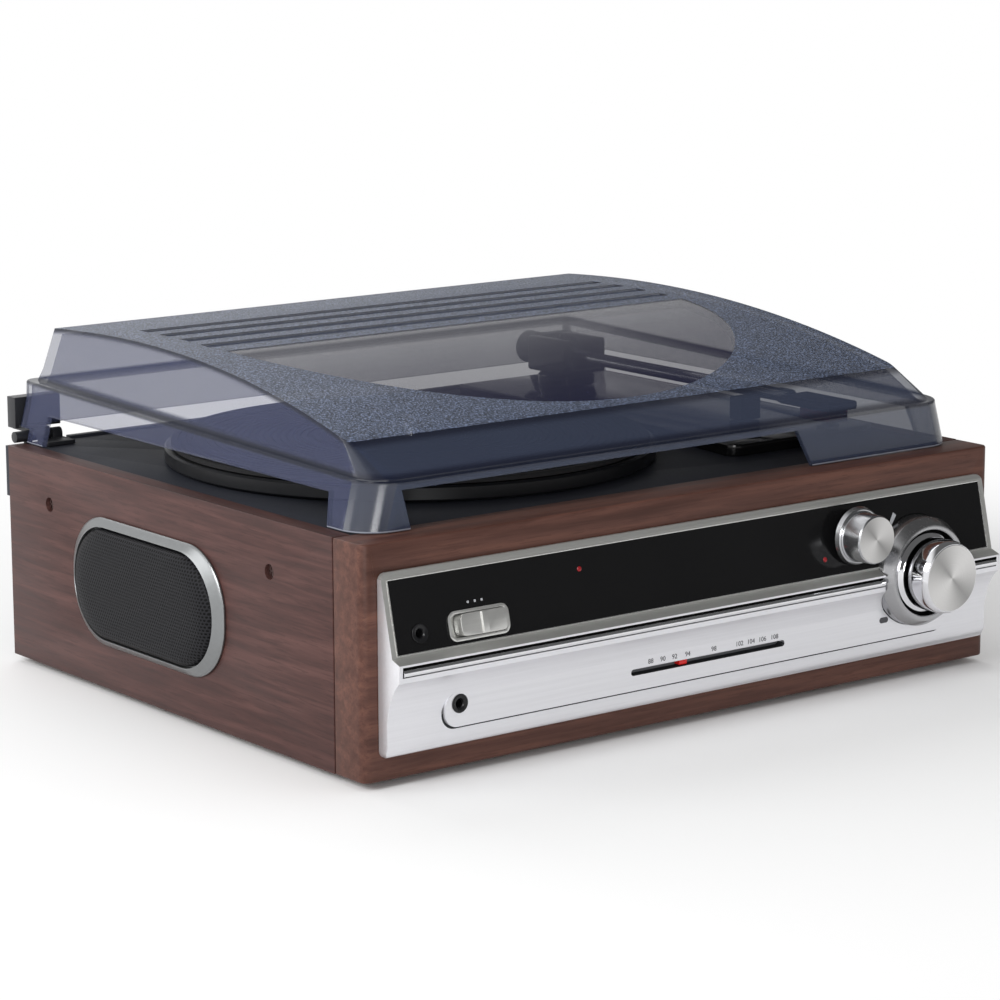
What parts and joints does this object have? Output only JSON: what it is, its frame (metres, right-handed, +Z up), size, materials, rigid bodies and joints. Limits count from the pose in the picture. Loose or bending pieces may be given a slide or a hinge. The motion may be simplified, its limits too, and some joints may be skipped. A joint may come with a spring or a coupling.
{
  "type": "stereo music centre",
  "caption": "Compact music centre: belt-drive turntable under a hinged smoked cover, wooden cabinet with a silver radio front and a speaker in each side.",
  "frame": {"origin": "middle of the bounding box at the underside of the feet", "axes": "+X to the object's right as seen from the front, +Y from the front with its controls to the back with its hinges, +Z up"},
  "size_m": [0.364, 0.3282, 0.1559],
  "materials": {
    "walnut": "satin lacquered veneer",
    "fibreboard": "bare",
    "black_plastic": "fine grain",
    "speaker_mesh": "woven",
    "foot_rubber": "matt",
    "steel": "satin",
    "deck_plastic": "satin",
    "brass": "turned",
    "chrome": "polished",
    "gloss_black": "gloss",
    "spun_metal": "spun face",
    "red_plastic": "gloss",
    "silver_plastic": "silver paint",
    "ivory_plastic": "matt",
    "dial_grey": "matt",
    "circuit_board": "matt",
    "smoked_plastic": "smoked, partly polished, partly grained"
  },
  "bodies": {
    "cabinet": {"front_board": "walnut", "left_side_board": "walnut", "right_side_board": "walnut", "base_board": "fibreboard", "back_panel": "black_plastic", "tonearm_rest": "black_plastic", "headphone_socket": "black_plastic", "aux_socket": "black_plastic", "left_speaker_driver": "black_plastic", "right_speaker_driver": "black_plastic", "left_hinge_base": "black_plastic", "right_hinge_base": "black_plastic", "left_speaker_grille": "speaker_mesh", "right_speaker_grille": "speaker_mesh", "front_left_foot": "foot_rubber", "front_right_foot": "foot_rubber", "rear_left_foot": "foot_rubber", "rear_right_foot": "foot_rubber", "cord_gland": "foot_rubber", "drive_belt": "foot_rubber", "line_out_sockets": "steel", "transformer": "steel", "motor": "steel", "volume_pot": "steel", "deck_plate": "deck_plastic", "spindle_bearing": "brass", "chrome_strip_left": "chrome", "chrome_strip_right": "chrome", "tonearm_plinth": "gloss_black", "tonearm_base": "gloss_black", "panel_plate": "gloss_black", "power_lamp": "red_plastic", "stereo_lamp": "red_plastic", "fascia_bezel": "silver_plastic", "volume_collar": "silver_plastic", "selector_plate": "silver_plastic", "left_speaker_bezel": "silver_plastic", "right_speaker_bezel": "silver_plastic", "tuning_capacitor": "ivory_plastic", "dial_backing": "dial_grey", "main_board": "circuit_board"},
    "cover": {"dust_cover": "smoked_plastic", "left_hinge_leaf": "black_plastic", "right_hinge_leaf": "black_plastic"},
    "platter": {"platter": "gloss_black", "platter_mat": "foot_rubber", "spindle": "chrome"},
    "pulley": {"motor_pulley": "brass"},
    "arm_yoke": {"tonearm_yoke": "gloss_black"},
    "arm": {"tonearm_tube": "spun_metal", "counterweight": "black_plastic", "headshell": "black_plastic", "cartridge": "red_plastic"},
    "speed": {"speed_selector": "silver_plastic"},
    "volume_control": {"volume_knob": "spun_metal", "volume_shaft": "steel"},
    "tuning_control": {"tuning_knob": "spun_metal", "tuning_shaft": "steel"},
    "pointer": {"dial_pointer": "red_plastic"},
    "selector": {"selector_slider": "silver_plastic"}
  },
  "joints": [
    {"name": "lid_hinge", "type": "hinge", "parent": "cabinet", "child": "cover", "pos_m": [0, 0.14785, 0.1043], "axis": [-1, 0, 0], "range_deg": [0, 60]},
    {"name": "platter_spin", "type": "hinge", "parent": "cabinet", "child": "platter", "pos_m": [-0.044, 0.01335, 0.1033], "axis": [0, 0, 1], "continuous": true},
    {"name": "pulley_spin", "type": "hinge", "parent": "cabinet", "child": "pulley", "pos_m": [-0.11259, -0.05524, 0.1033], "axis": [0, 0, 1], "continuous": true},
    {"name": "arm_swing", "type": "hinge", "parent": "cabinet", "child": "arm_yoke", "pos_m": [0.115, 0.09985, 0.1153], "axis": [0, 0, -1], "range_deg": [0, 45]},
    {"name": "arm_lift", "type": "hinge", "parent": "arm_yoke", "child": "arm", "pos_m": [0.115, 0.09985, 0.1211], "axis": [-1, 0, 0], "range_deg": [0, 1.5]},
    {"name": "volume_turn", "type": "hinge", "parent": "cabinet", "child": "volume_control", "pos_m": [0.122, -0.15315, 0.0521], "axis": [0, 1, 0], "range_deg": [0, 300]},
    {"name": "tuning_turn", "type": "hinge", "parent": "cabinet", "child": "tuning_control", "pos_m": [0.0837, -0.14815, 0.073], "axis": [0, 1, 0], "range_deg": [-415, 1020]},
    {"name": "pointer_slide", "type": "slide", "parent": "cabinet", "child": "pointer", "axis": [1, 0, 0], "range_m": [-0.022, 0.054]},
    {"name": "selector_slide", "type": "slide", "parent": "cabinet", "child": "selector", "axis": [1, 0, 0], "range_m": [-0.004, 0]},
    {"name": "speed_slide", "type": "slide", "parent": "cabinet", "child": "speed", "axis": [0, 1, 0], "range_m": [0, 0.012]}
  ],
  "couplings": [
    {"joint": "pulley_spin", "follows": "platter_spin", "ratio": 21.5},
    {"joint": "pointer_slide", "follows": "tuning_turn", "m_per_rad": 0.003}
  ]
}
